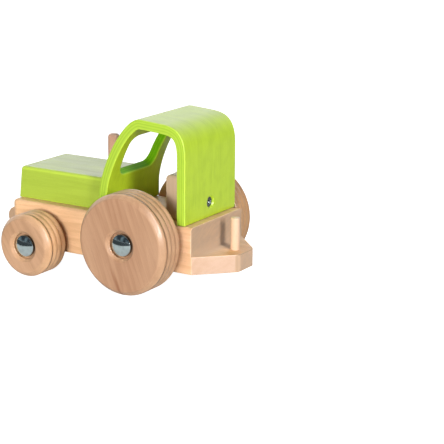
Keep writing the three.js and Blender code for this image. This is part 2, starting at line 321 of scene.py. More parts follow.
def mineral_streak(graph, color, dark, grain, streak, mark):
    """Adds a dark streak along the grain. mark is its place across the grain, and where it fades out."""
    across, fade = mark
    far, _, beside = graph.split(grain)
    wander = graph.math("MULTIPLY", graph.math("SUBTRACT", streak, 0.5), 5.0)
    off = graph.math("ABSOLUTE", graph.math("ADD", graph.math("ADD", beside, across), wander))
    strength = graph.math("MULTIPLY", graph.span(off, 2.2, 0.2), graph.span(far, fade, fade - 18.0))
    return graph.mix(graph.math("MULTIPLY", strength, 0.9), color, tinted(dark, STREAK_TINT))


def paint_chassis_light_and_shade(graph, color, place, normal, step):
    """Paints light and shade on the chassis face by face, as tints. step is the height of the shelf, along
    whose inner corner a shade line is painted.
    """
    forward, sideways, upward = graph.split(normal)
    along, _, height = graph.split(place)
    side = graph.span(graph.math("ABSOLUTE", sideways), 0.3, 0.6)
    rear = graph.span(forward, -0.85, -0.97)
    off_shade_line = graph.math("ABSOLUTE", graph.math("SUBTRACT", height, step + 0.2))
    for one, two, tint in (
        # Painted shade on the shelf top.
        (graph.span(upward, 0.5, 0.9), graph.span(height, step + 2.0, step), SHELF_TOP_PAINTED_SHADE),
        # Painted sheen on the slanted faces.
        (graph.span(forward, -0.25, -0.45), graph.span(forward, -0.85, -0.65), SLANTED_PAINTED_SHEEN),
        # Painted shade on the rear of the sides.
        (side, graph.span(along, -48.0, -62.0), REAR_SIDE_PAINTED_SHADE),
        # Painted light on the shelf's end.
        (rear, graph.span(height, step, step - 1.0), SHELF_END_PAINTED_LIGHT),
        # Painted shade line in the inner corner.
        (rear, graph.span(off_shade_line, 1.1, 0.6), CORNER_PAINTED_SHADE_LINE),
    ):
        color = graph.mix(graph.math("MULTIPLY", one, two), color, tint, "MULTIPLY")
    return color


def wood(
    name,
    tones,
    along=(1, 0, 0),
    centre=(0, 0, 0),
    start=(0, 0, 0),
    lines=0.3,
    coat=0.12,
    mark=None,
    face_tint=None,
    step_height=None,
    wear_and_highlight_edge=(0.1, 1.12),
):
    """Satin-lacquered beech, in mm. along is the grain, centre the piece's middle, start picks the board.

    mark is for mineral_streak.
    face_tint is for turned wheels: their two flat faces, across the axle, are multiplied by it.
    step_height is for the chassis, whose faces then get painted light and shade, see
    paint_chassis_light_and_shade.
    The pair for rounded edges says how strongly they are paler, partly thinner, worn stain and partly a
    painted highlight, and how bright their colour is.
    """
    material, graph, shader = new_material(name)
    coords = graph.node("ShaderNodeTexCoord")
    normal = coords.outputs["Normal"]
    along = Vector(along).normalized()
    place = graph.scaled(coords.outputs["Object"], (1 / MM,) * 3)
    turn = graph.node("ShaderNodeMapping", vector_type="POINT")
    graph.put(turn.inputs["Vector"], graph.vector("SUBTRACT", place, tuple(centre)))
    turn.inputs["Rotation"].default_value = along.rotation_difference(Vector((1, 0, 0))).to_euler()
    grain = turn.outputs[0]
    mm = graph.vector("ADD", grain, tuple(start))

    sway = graph.noise(graph.scaled(mm, (0.01, 0.03, 0.03)), detail=2, output="Color")
    sway = graph.scaled(graph.vector("SUBTRACT", sway, (0.5, 0.5, 0.5)), (0.0, 14.0, 14.0))
    _, y, z = graph.split(graph.vector("ADD", mm, sway))
    from_pith = graph.join(0.0, graph.math("ADD", y, 45.0), graph.math("ADD", z, 60.0))
    years = graph.math("DIVIDE", graph.vector("LENGTH", from_pith), RING_SPACING)
    uneven = graph.noise(graph.scaled(mm, (0.008, 0.06, 0.06)), detail=1)
    ring = graph.math("FRACT", graph.math("ADD", years, graph.math("MULTIPLY", uneven, 3.0)))
    late_wood = graph.math("MULTIPLY", graph.span(ring, 0.15, 0.85), graph.span(ring, 1.0, 0.9))
    fibre = graph.noise(graph.scaled(mm, (0.06, 1.6, 1.6)), detail=3, roughness=0.6)
    streak = graph.noise(graph.scaled(mm, (0.012, 0.2, 0.2)), detail=2)
    patch = graph.noise(graph.scaled(mm, (0.012, 0.035, 0.035)), detail=1)
    fleck = graph.span(graph.noise(graph.scaled(mm, (0.4, 2.6, 2.6)), detail=1), 0.64, 0.74)

    dark = graph.math("MULTIPLY", late_wood, graph.span(patch, 0.35, 0.65, 0.3 * lines, lines))
    dark = graph.math("ADD", dark, graph.span(streak, 0.3, 0.72, 0.0, 0.6))
    dark = graph.math("ADD", dark, graph.span(patch, 0.35, 0.7, -0.15, 0.25))
    dark = graph.math("ADD", dark, graph.span(fibre, 0.3, 0.7, -0.16, 0.16), clamp=True)
    color = graph.mix(dark, tones["light"], tones["dark"])
    end_grain = graph.math("ABSOLUTE", graph.vector("DOT_PRODUCT", normal, tuple(along)))
    end_color = graph.mix(graph.math("MULTIPLY", dark, 0.25), tones["end"], tones["dark"])
    color = graph.mix(graph.span(end_grain, 0.5, 0.95), color, end_color)
    darker = tuple(0.72 * part for part in tones["dark"])
    color = graph.mix(graph.math("MULTIPLY", fleck, 0.4), color, darker)
    if mark:
        color = mineral_streak(graph, color, tones["dark"], grain, streak, mark)
    if face_tint:
        across_axle = graph.math("ABSOLUTE", graph.split(normal)[1])
        color = graph.mix(graph.span(across_axle, 0.35, 0.9), color, face_tint, "MULTIPLY")
    if step_height:
        color = paint_chassis_light_and_shade(graph, color, place, normal, step_height)
    # Rounded edges are paler: partly thinner, worn stain, partly a painted highlight.
    edge_pale_share, gain = wear_and_highlight_edge
    pale = tuple(min(1.0, gain * part) for part in tones["light"])
    color = graph.mix(graph.math("MULTIPLY", graph.attribute("edge"), edge_pale_share), color, pale)
    graph.put(shader.inputs["Base Color"], color)

    rough = graph.span(fibre, 0.3, 0.7, 0.36, 0.46)
    graph.put(shader.inputs["Roughness"], graph.math("ADD", rough, graph.math("MULTIPLY", late_wood, -0.04)))
    shader.inputs["Coat Weight"].default_value = coat
    shader.inputs["Coat Roughness"].default_value = 0.18
    relief = graph.math("ADD", fibre, graph.math("MULTIPLY", fleck, -0.6))
    if face_tint:
        depth = graph.split(place)[1]
        tool_marks = graph.noise(graph.join(0.0, depth, 0.0), scale=2.2, detail=2)
        relief = graph.math("ADD", relief, graph.math("MULTIPLY", tool_marks, 0.5))
    graph.put(shader.inputs["Normal"], graph.bump(relief, 0.05))
    return material


PLY = 6.6
PLY_LAYERS = 7
PLY_SKIN = ((0.48, 0.66, 0.024), (0.385, 0.555, 0.017))
PLY_PORE = (0.27, 0.40, 0.03)
PLY_LAMINATE = ((0.405, 0.575, 0.048), (0.315, 0.485, 0.032))
PLY_FIBRE = (0.46, 0.66, 0.06)
PLY_CUT = ((0.17, 0.45, 0.002), (0.13, 0.385, 0.001))
# Colour of the sheet's rounded edges: partly thinner stain, partly a painted highlight.
PLY_EDGE_WEAR_AND_HIGHLIGHT = (0.62, 0.84, 0.09)


def green_ply(name):
    """Lime-stained bent plywood.

    The mesh carries sheet, the distance along, across and into the sheet in mm, and three shares:
    side for the sheet's layered side, cut for a sawn opening, and edge for a rounded edge.
    """
    material, graph, shader = new_material(name)
    sheet = graph.attribute("sheet", "Vector")
    depth = graph.split(sheet)[2]
    side = graph.attribute("side")
    cut = graph.attribute("cut")
    fibre = graph.noise(graph.scaled(sheet, (0.07, 1.7, 1.7)), detail=3, roughness=0.6)
    streak = graph.noise(graph.scaled(sheet, (0.012, 0.2, 0.2)), detail=2)
    mottle = graph.noise(graph.scaled(sheet, (0.09, 0.13, 0.13)), detail=2)
    pore = graph.span(graph.noise(graph.scaled(sheet, (0.35, 2.4, 2.4)), detail=1), 0.66, 0.74)
    tone = graph.span(streak, 0.35, 0.7, 0.0, 0.35)
    tone = graph.math("ADD", tone, graph.span(mottle, 0.35, 0.7, -0.1, 0.35))
    tone = graph.math("ADD", tone, graph.span(fibre, 0.3, 0.7, -0.25, 0.25), clamp=True)
    skin = graph.mix(tone, *PLY_SKIN)
    skin = graph.mix(graph.math("MULTIPLY", pore, 0.4), skin, PLY_PORE)

    layer = graph.math("FRACT", graph.math("DIVIDE", depth, 2 * PLY / PLY_LAYERS))
    layer = graph.math("MULTIPLY", graph.span(layer, 0.05, 0.2), graph.span(layer, 0.7, 0.55))
    laminate = graph.mix(layer, *PLY_LAMINATE)
    laminate = graph.mix(graph.span(fibre, 0.4, 0.7, 0.0, 0.2), laminate, PLY_FIBRE)
    color = graph.mix(side, skin, laminate)
    color = graph.mix(cut, color, graph.mix(layer, *PLY_CUT))
    # Rounded edges are paler: partly thinner stain, partly a painted highlight.
    color = graph.mix(graph.math("MULTIPLY", graph.attribute("edge"), 0.55), color, PLY_EDGE_WEAR_AND_HIGHLIGHT)
    graph.put(shader.inputs["Base Color"], color)

    rough = graph.span(fibre, 0.3, 0.7, 0.32, 0.42)
    graph.put(shader.inputs["Roughness"], graph.math("ADD", rough, graph.math("MULTIPLY", cut, 0.4)))
    lacquered = graph.math("SUBTRACT", 1.0, cut)
    graph.put(shader.inputs["Coat Weight"], graph.math("MULTIPLY", lacquered, 0.2))
    shader.inputs["Coat Roughness"].default_value = 0.2
    relief = graph.math("ADD", fibre, graph.math("MULTIPLY", graph.math("MULTIPLY", layer, side), 0.3))
    graph.put(shader.inputs["Normal"], graph.bump(relief, 0.04))
    return material


CHROME = (0.72, 0.86, 0.87)
# Painted shade: the hub caps' side walls are darkened as if in shadow in their recesses.
CHROME_RIM_SHADE = (0.12, 0.13, 0.14)
STEEL = (0.60, 0.61, 0.63)
SCREW_STEEL = (0.15, 0.17, 0.18)


def metal(name, color, roughness, smudge, scratch_mm, rim=None):
    """Bare metal whose smudges are rougher. rim is a painted shade, the colour of the parts that the mesh
    marks as edge.
    """
    material, graph, shader = new_material(name)
    coords = graph.scaled(graph.node("ShaderNodeTexCoord").outputs["Object"], (1 / MM,) * 3)
    cloud = graph.noise(coords, scale=0.35, detail=3)
    scratches = graph.noise(graph.scaled(coords, (3.0, 3.0, 0.25)), detail=2)
    dull = tuple(0.86 * part for part in color)
    tone = graph.mix(graph.span(cloud, 0.4, 0.7), color, dull)
    if rim:
        tone = graph.mix(graph.attribute("edge"), tone, rim)
    graph.put(shader.inputs["Base Color"], tone)
    shader.inputs["Metallic"].default_value = 1.0
    graph.put(shader.inputs["Roughness"], graph.span(cloud, 0.35, 0.7, roughness, roughness + smudge))
    graph.put(shader.inputs["Normal"], graph.bump(graph.math("ADD", cloud, scratches), scratch_mm))
    return material


# ---- Mesh helpers ----

# A face larger than this, in square millimetres, is a flat one, not part of a rounded edge.
FLAT_AREA = 100.0
# Points closer than this, in millimetres, are one.
WELD = 1e-4


def layer_of(bm, name, vector=False):
    """The vertices' layer of that name, made if it isn't there."""
    layers = bm.verts.layers.float_vector if vector else bm.verts.layers.float
    return layers.get(name) or layers.new(name)


def finish_piece(bm, name, material, body, slot, *nodes):
    """Makes the object from millimetres, gives it its finish and ties it to the frame."""
    bmesh.ops.recalc_face_normals(bm, faces=bm.faces)
    bmesh.ops.scale(bm, vec=(MM, MM, MM), verts=bm.verts)
    mesh = bpy.data.meshes.new(name)
    bm.to_mesh(mesh)
    bm.free()
    mesh.materials.append(material)
    mesh.shade_smooth()
    piece = bpy.data.objects.new(name, mesh)
    scene.collection.objects.link(piece)
    weighted = piece.modifiers.new("normals", "WEIGHTED_NORMAL")
    weighted.weight = 100
    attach(piece, body)
    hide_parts(*nodes)
    return piece


def solid_from_faces(corners, faces):
    """A mesh with flat faces, each a list of corner numbers."""
    bm = bmesh.new()
    verts = [bm.verts.new(corner) for corner in corners]
    for face in faces:
        bm.faces.new([verts[i] for i in face])
    return bm


def soften(bm, width_of, segments):
    """Rounds edges. width_of(edge) gives each edge's width in mm, 0 for one that stays sharp.

    Afterwards the layer edge is 1 away from the big flat faces.
    """
    weight = bm.edges.layers.float.new("bevel_weight_edge")
    widths = {edge: width_of(edge) for edge in bm.edges}
    widest = max(widths.values())
    for edge, width in widths.items():
        edge[weight] = width / widest
    mesh = bpy.data.meshes.new("softening")
    bm.to_mesh(mesh)
    holder = bpy.data.objects.new("softening", mesh)
    scene.collection.objects.link(holder)
    bevel = holder.modifiers.new("bevel", "BEVEL")
    bevel.width = widest
    bevel.segments = segments
    bevel.limit_method = "WEIGHT"
    bevel.miter_outer = "MITER_ARC"
    rounded = holder.evaluated_get(bpy.context.evaluated_depsgraph_get())
    bm.clear()
    bm.from_mesh(rounded.to_mesh())
    bpy.data.objects.remove(holder)
    edge_layer = layer_of(bm, "edge")
    for vert in bm.verts:
        on_flat = max(face.calc_area() for face in vert.link_faces) > FLAT_AREA
        vert[edge_layer] = 0.0 if on_flat else 1.0


def carve(bm, cutters):
    """Cuts closed meshes out of a closed mesh."""
    holders = []
    for part in (bm, *cutters):
        bmesh.ops.recalc_face_normals(part, faces=part.faces)
        mesh = bpy.data.meshes.new("carving")
        part.to_mesh(mesh)
        holders.append(bpy.data.objects.new("carving", mesh))
        scene.collection.objects.link(holders[-1])
    for cutter in holders[1:]:
        cut = holders[0].modifiers.new("cut", "BOOLEAN")
        cut.operation = "DIFFERENCE"
        cut.solver = "EXACT"
        cut.object = cutter
    carved = holders[0].evaluated_get(bpy.context.evaluated_depsgraph_get())
    bm.clear()
    bm.from_mesh(carved.to_mesh())
    for holder in holders:
        bpy.data.objects.remove(holder)
    for part in cutters:
        part.free()


def rounded_path(points, steps):
    """Points (a, b, radius): each corner is cut back by its radius and rounded. Gives (a, b, edge)."""
    path = []
    for i, (a, b, radius) in enumerate(points):
        here = Vector((a, b))
        if radius <= 0 or i in (0, len(points) - 1):
            path.append((a, b, 0.0))
            continue
        before = (Vector(points[i - 1][:2]) - here).normalized() * radius
        after = (Vector(points[i + 1][:2]) - here).normalized() * radius
        for k in range(steps + 1):
            t = k / steps
            bent = here + (1 - t) ** 2 * before + t**2 * after
            path.append((bent.x, bent.y, 1 - abs(2 * t - 1)))
    return path


def lathe(path, centre, axis, segments, mirror=False):
    """Turns a path of (radius, height, edge) about an axis through centre. Ends at radius 0 are closed."""
    bm = bmesh.new()
    edge_layer = layer_of(bm, "edge")
    sign = -1 if mirror else 1
    rings = []
    for radius, height, edge in path:
        ring = []
        count = 1 if radius < WELD else segments
        for k in range(count):
            angle = 2 * math.pi * k / segments
            u, v, w = radius * math.cos(angle), radius * math.sin(angle), sign * height
            place = {"x": (w, u, v), "y": (u, w, v), "z": (u, v, w)}[axis]
            vert = bm.verts.new(Vector(place) + Vector(centre))
            vert[edge_layer] = edge
            ring.append(vert)
        rings.append(ring)
    for lower, upper in zip(rings, rings[1:]):
        for k in range(segments):
            quad = [lower[k % len(lower)], lower[(k + 1) % len(lower)]]
            quad += [upper[(k + 1) % len(upper)], upper[k % len(upper)]]
            corners = list(dict.fromkeys(quad))
            if len(corners) > 2:
                bm.faces.new(corners)
    bmesh.ops.remove_doubles(bm, verts=bm.verts, dist=WELD)
    return bm


# ---- Chassis, hood, seat, bumper ----

SHELF_TOP = frame["record"]["mounts"][0]["pos_m"][2] / MM
STEP_BACK = 5.4
SHELF_END_HALF_WIDTH = 9.8
CHASSIS_ROUND = {"front corner": 5.0, "front": 4.0, "shelf corner": 3.0, "top": 2.8, "other": 0.7}
AXLE_BORE = 2.58
HOOD_LEAN = 2.4
HOOD_ROUND = {"foot": 1.0, "front": 3.0, "other": 2.6}
SEAT_ROUND = {"top": 2.6, "other": 1.0}
BUMPER_ROUND = 1.4
NEAR = 0.1
BLOCK_FACES = [(0, 3, 2, 1), (4, 5, 6, 7), (0, 1, 5, 4), (1, 2, 6, 5), (2, 3, 7, 6), (3, 0, 4, 7)]


def make_chassis(material):
    """A block with two axle bores. Behind the cab it steps down to a thin shelf, which tapers to its end."""
    low, high = box_mm("chassis")
    step = box_mm("cab_shell")[0].x - STEP_BACK
    half, end_half = high.y, SHELF_END_HALF_WIDTH
    block = [(step, half), (high.x, half), (high.x, -half), (step, -half)]
    shelf = [(low.x, end_half), (step, half), (step, -half), (low.x, -end_half)]
    corners = [(x, y, low.z) for x, y in (shelf[0], *block, shelf[-1])]
    corners += [(x, y, high.z) for x, y in block]
    corners += [(x, y, SHELF_TOP) for x, y in shelf]
    faces = [
        (5, 4, 3, 2, 1, 0),
        (6, 7, 8, 9),
        (2, 3, 8, 7),
        (1, 2, 7, 6, 11),
        (3, 4, 12, 9, 8),
        (0, 1, 11, 10),
        (4, 5, 13, 12),
        (5, 0, 10, 13),
        (10, 11, 12, 13),
        (11, 6, 9, 12),
    ]

    def width(edge):
        one, two = (vert.co for vert in edge.verts)
        middle = (one + two) / 2
        if abs(middle.x - step) < NEAR and abs(middle.z - SHELF_TOP) < NEAR:
            return 0.0
        upright = abs(one.z - two.z) > NEAR
        if abs(middle.x - high.x) < NEAR:
            return CHASSIS_ROUND["front corner" if upright else "front"]
        if abs(middle.x - low.x) < NEAR and upright:
            return CHASSIS_ROUND["shelf corner"]
        if abs(middle.z - high.z) < NEAR and abs(middle.y) > NEAR:
            return CHASSIS_ROUND["top"]
        return CHASSIS_ROUND["other"]

    bm = solid_from_faces(corners, faces)
    soften(bm, width, segments=6)
    through = half + 1.0
    path = [(0, -through, 0), (AXLE_BORE, -through, 0), (AXLE_BORE, through, 0), (0, through, 0)]
    bores = []
    for end in ("rear", "front"):
        *_, centre = turned_part(f"{end}_axle")
        bores.append(lathe(path, centre, "y", 48))
    carve(bm, bores)
    return finish_piece(bm, "chassis_block", material, "tractor", "beech", "chassis")


def block_corners(low, high, lean=0.0):
    """A block's eight corners. The top of its front face is set back by lean."""
    plan = ((low.x, low.y), (high.x, low.y), (high.x, high.y), (low.x, high.y))
    corners = [(x, y, low.z) for x, y in plan]
    return corners + [(x - lean if x == high.x else x, y, high.z) for x, y in plan]


def make_hood(material):
    low, high = box_mm("hood")
    bm = solid_from_faces(block_corners(low, high, HOOD_LEAN), BLOCK_FACES)

    def width(edge):
        middle = (edge.verts[0].co + edge.verts[1].co) / 2
        if middle.z < low.z + NEAR:
            return HOOD_ROUND["foot"]
        return HOOD_ROUND["front" if middle.x > high.x - HOOD_LEAN - NEAR else "other"]

    soften(bm, width, segments=5)
    return finish_piece(bm, "hood_block", material, "tractor", "green_beech", "hood")


def make_seat(material):
    low, high = box_mm("seat_block")
    bm = solid_from_faces(block_corners(low, high), BLOCK_FACES)

    def width(edge):
        middle = (edge.verts[0].co + edge.verts[1].co) / 2
        return SEAT_ROUND["top" if middle.z > high.z - NEAR and middle.x > low.x + NEAR else "other"]

    soften(bm, width, segments=5)
    return finish_piece(bm, "seat_wood", material, "tractor", "beech", "seat_block")


def make_bumper(material):
    """A round bar with a flat back."""
    low, high = box_mm("bumper_bar")
    radius, half = (high.z - low.z) / 2, high.y
    path = [(0, -half, 0), (radius, -half, BUMPER_ROUND), (radius, half, BUMPER_ROUND), (0, half, 0)]
    centre = (high.x - radius, 0, (high.z + low.z) / 2)
    bm = lathe(rounded_path(path, 5), centre, "y", 72)
    for vert in bm.verts:
        vert.co.x = max(vert.co.x, low.x)
    return finish_piece(bm, "bumper_wood", material, "tractor", "beech", "bumper_bar")


# ---- Pegs ----

PEG_FOOT_ROUND = 0.4
HITCH_TOP_ROUND = 0.8
EXHAUST_TOP_ROUND = 3.0


def make_peg(name, node, material, top_round):
    low, high = box_mm(node)
    radius = (high.x - low.x) / 2
    centre = ((high.x + low.x) / 2, (high.y + low.y) / 2, 0)
    path = [(0, low.z, 0), (radius, low.z, PEG_FOOT_ROUND), (radius, high.z, top_round), (0, high.z, 0)]
    bm = lathe(rounded_path(path, 6), centre, "z", 64)
    return finish_piece(bm, name, material, "tractor", "beech", node)


# ---- Wheels, caps, washers, axles ----

# Painted shade: the wheels on the far side are darker and more saturated.
FAR_WHEEL_PAINTED_SHADE = (0.9, 0.83, 0.7)
# End, side, lean of the grain from upright in degrees, mineral streak, painted shade.
WHEELS = (
    ("rear", "left", 21, (12.4, -8), (1, 1, 1)),
    ("rear", "right", 64, None, FAR_WHEEL_PAINTED_SHADE),
    ("front", "left", 35, None, (1, 1, 1)),
    ("front", "right", 78, (-8, 4), FAR_WHEEL_PAINTED_SHADE),
)

WHEEL_WIDTH = 20.8
WHEEL_BACK_CHAMFER = 1.0
RECESS_RADIUS = 9.3
RECESS_DEPTH = 4.6
RIM_CHAMFER = 2.0
BOSS_RADIUS = 10.0
SHOULDER_DROP = 3.2
SHOULDER_WIDTH = 3.6
GROOVE_FIRST = 4.3
GROOVE_PITCH = 4.9
GROOVE_COUNT = 3
GROOVE_DEPTH = 0.85
GROOVE_HALF_WIDTH = 1.5
PRESSED_BORE = 2.6
CAP_DOME = 1.5
CAP_BORE_DEPTH = 3.2
CAP_CHAMFER = 0.3
CAP_SEAM = 0.08
CAP_STEPS = 14
WASHER_ROUND = 0.25
AXLE_ROUND = 0.4


def outer_and_inner(low, high, side):
    """How far out a part on one side ends and begins. Right-hand parts are worked out as left ones."""
    return (-low.y, -high.y) if side == "right" else (high.y, low.y)


def make_wheel(end, side, material):
    """Boss, flat back, grooved tread, rounded shoulder, then the front with its chamfered recess."""
    node = f"{end}_wheel_{side}"
    low, high, radius, centre = turned_part(node)
    face, boss = outer_and_inner(low, high, side)
    back = face - WHEEL_WIDTH
    floor = face - RECESS_DEPTH
    path = [(AXLE_BORE, floor, 0), (AXLE_BORE, boss, 0.3), (BOSS_RADIUS, boss, 0.5), (BOSS_RADIUS, back, 0.2)]
    path += [(radius - WHEEL_BACK_CHAMFER, back, 0.5), (radius, back + WHEEL_BACK_CHAMFER, 0.7)]
    for k in range(GROOVE_COUNT):
        middle = back + GROOVE_FIRST + k * GROOVE_PITCH
        path.append((radius, middle - GROOVE_HALF_WIDTH, 0.9))
        path.append((radius - GROOVE_DEPTH, middle, 0.6))
        path.append((radius, middle + GROOVE_HALF_WIDTH, 0.9))
    path += [(radius, face - SHOULDER_WIDTH, 1.7), (radius - SHOULDER_DROP, face, 0.9)]
    path.append((RECESS_RADIUS + RIM_CHAMFER, face, 0.5))
    path.append((RECESS_RADIUS, face - RIM_CHAMFER, 0.6))
    path.append((RECESS_RADIUS, floor, 0.3))
    path.append((AXLE_BORE, floor, 0))
    bm = lathe(rounded_path(path, 4), centre, "y", 144, side == "right")
    name = f"{end}_{side}_wheel_wood"
    return finish_piece(bm, name, material, f"{end}_wheel_{side}_body", "beech", node)


def make_cap(end, side, material):
    """A disc with a blind bore and a domed face."""
    node = f"{end}_cap_{side}"
    low, high, radius, centre = turned_part(node)
    top, base = outer_and_inner(low, high, side)
    sphere = (radius**2 + CAP_DOME**2) / (2 * CAP_DOME)
    bore_top = base + CAP_BORE_DEPTH
    path = [(0, bore_top, 0), (PRESSED_BORE, bore_top, 0), (PRESSED_BORE, base, 0)]
    # The side wall is marked as edge, where the chrome takes its painted shade.
    path += [(radius - CAP_CHAMFER, base, 1), (radius, base + CAP_CHAMFER, 1)]
    path.append((radius, top - CAP_DOME - CAP_CHAMFER, 1))
    half_angle = math.asin(radius / sphere)
    for k in range(CAP_STEPS + 1):
        angle = half_angle * (1 - k / CAP_STEPS)
        out = sphere * math.sin(angle) - (CAP_SEAM if k == 0 else 0)
        path.append((out, top - sphere * (1 - math.cos(angle)), 0))
    bm = lathe(path, centre, "y", 96, side == "right")
    return finish_piece(bm, f"{end}_{side}_hub_cap", material, f"{end}_axle_set", "chrome", node)


def make_washer(end, side, material):
    node = f"{end}_washer_{side}"
    low, high, radius, centre = turned_part(node)
    path = [(PRESSED_BORE, low.y, 0), (radius, low.y, WASHER_ROUND), (radius, high.y, WASHER_ROUND)]
    path += [(PRESSED_BORE, high.y, 0), (PRESSED_BORE, low.y, 0)]
    bm = lathe(rounded_path(path, 3), centre, "y", 72)
    return finish_piece(bm, f"{end}_{side}_washer_disc", material, f"{end}_axle_set", "steel", node)


def make_axle(end, material):
    node = f"{end}_axle"
    low, high, radius, centre = turned_part(node)
    path = [(0, low.y, 0), (radius, low.y, AXLE_ROUND), (radius, high.y, AXLE_ROUND), (0, high.y, 0)]
    bm = lathe(rounded_path(path, 3), centre, "y", 48)
    return finish_piece(bm, f"{end}_axle_rod", material, f"{end}_axle_set", "steel", node)


# ---- Screw ----

SCREW_SUNK = 1.1
SCREW_HEAD = 3.6
SCREW_SHANK = 1.9
SCREW_POINT = 3.0
CROSS_TILT = math.radians(28)


def screw_height():
    low, high = box_mm("cab_screw")
    return (low.z + high.z) / 2


def cross_cutter(head, tilt):
    """One slot of the cross recess, as a wedge with a half length and half width at mouth and bottom."""
    bm = bmesh.new()
    height = screw_height()
    rows = []
    for x, long, wide in ((head - 1.0, 2.6, 0.62), (head + 1.5, 1.0, 0.4)):
        ring = []
        for along, across in ((1, 1), (-1, 1), (-1, -1), (1, -1)):
            u, v = along * long, across * wide
            y = u * math.cos(tilt) - v * math.sin(tilt)
            z = u * math.sin(tilt) + v * math.cos(tilt)
            ring.append(bm.verts.new((x, y, height + z)))
        rows.append(ring)
    outer, inner = rows
    bm.faces.new(outer)
    bm.faces.new(inner[::-1])
    for k in range(4):
        bm.faces.new([outer[k], inner[k], inner[(k + 1) % 4], outer[(k + 1) % 4]])
    return bm


def make_screw(material):
    """A slightly domed head with a cross recess, its cone, the shank and the point."""
    head = box_mm("cab_shell")[0].x + SCREW_SUNK
    tip = box_mm("cab_screw")[1].x
    path = [(0, head - 0.15, 0), (2.2, head - 0.05, 0), (SCREW_HEAD - 0.2, head, 0)]
    path += [(SCREW_HEAD, head + 0.25, 1), (SCREW_SHANK, head + 2.2, 0)]
    path += [(SCREW_SHANK, tip - SCREW_POINT, 0), (0, tip, 0)]
    bm = lathe(path, (0, 0, screw_height()), "x", 48)
    carve(bm, [cross_cutter(head, CROSS_TILT), cross_cutter(head, CROSS_TILT + math.pi / 2)])
    return finish_piece(bm, "cab_screw_head", material, "tractor", "steel", "cab_screw")


# ---- Cab ----

PLY_LIP = 0.8
FOOT_LIP = 0.6
SKIN_STEP = 2.2
WINDOW_HALF_WIDTH = 22.8
WINDOW_HALF_HEIGHT = 16.5
WINDOW_CORNER = 6.5
WINDOW_FLARE = 0.004
WINDOW_LEAN = math.radians(29)
WINDOW_LIP = 0.8
WINDOW_FORWARD = 23.1
WINDOW_HEIGHT = 88.8
WINDOW_CORNER_STEPS = 7
WINDOW_SIDE_STEPS = 8
# Where along the skin the windscreen wall's crossings are looked for.
WALL_START = 6.0
WALL_END = 75.0
BISECTIONS = 40
# The faces of the sheet have no points nearer than this to an opening.
WINDOW_CLEAR = 0.7
SCREW_CLEAR = 0.9
# Radius and depth.
SCREW_HOLE = ((4.8, 0.0), (4.5, 0.2), (4.25, 0.5), (2.3, 2.5), (2.1, PLY - 0.3), (2.4, PLY))
SCREW_HOLE_STEPS = 32
CURVE_STEPS = 60
COLUMNS = 16


def bezier(start, pull_a, pull_b, end):
    """Points of a cubic curve."""
    for k in range(CURVE_STEPS + 1):
        t = k / CURVE_STEPS
        yield (1 - t) ** 3 * start + 3 * (1 - t) ** 2 * t * pull_a + 3 * (1 - t) * t**2 * pull_b + t**3 * end


class CabSkin:
    """The cab's outer skin in the X-Z plane, by distance along it from the windscreen wall's foot."""

    def __init__(self):
        low, high = box_mm("cab_shell")
        foot, top, front, rear = low.z, high.z, high.x, low.x
        # Two curves, each end with its pull: up the windscreen wall to the roof, then down the rear wall.
        bend = (Vector((front, foot + 10.5)), Vector((front, foot + 32)))
        brow = (Vector((front - 20.5, top)), Vector((front - 33.5, top)))
        crown = (Vector((rear + 19, top - 1.2)), Vector((rear + 7.5, top - 2)))
        nape = (Vector((rear, top - 5.7)), Vector((rear, top - 23)))
        self.points = [Vector((front, foot)), *bezier(*bend, *brow), *bezier(*crown, *nape)]
        self.points.append(Vector((rear, foot)))
        self.marks = [0.0]
        for a, b in zip(self.points, self.points[1:]):
            self.marks.append(self.marks[-1] + (b - a).length)
        self.length = self.marks[-1]
        self.half_width = high.y
        self.foot = foot

    def at(self, distance):
        """The outer skin's point (x, z) at a distance."""
        distance = min(max(distance, 0.0), self.length)
        i = 1
        while self.marks[i] < distance:
            i += 1
        share = (distance - self.marks[i - 1]) / (self.marks[i] - self.marks[i - 1])
        return self.points[i - 1].lerp(self.points[i], share)

    def inward(self, distance):
        """Unit vector into the sheet, square to the skin."""
        reach = 1.2
        along = (self.at(distance + reach) - self.at(distance - reach)).normalized()
        return Vector((-along.y, along.x))

    def inside_at(self, distance, depth):
        return self.at(distance) + self.inward(distance) * depth

    def crossing(self, start, up, height, depth):
        """Distance along the windscreen wall where the layer at a depth passes a height up the lean."""
        near, far = WALL_START, WALL_END
        for _ in range(BISECTIONS):
            middle = (near + far) / 2
            if (self.inside_at(middle, depth) - start).dot(up) < height:
                near = middle
            else:
                far = middle
        return near


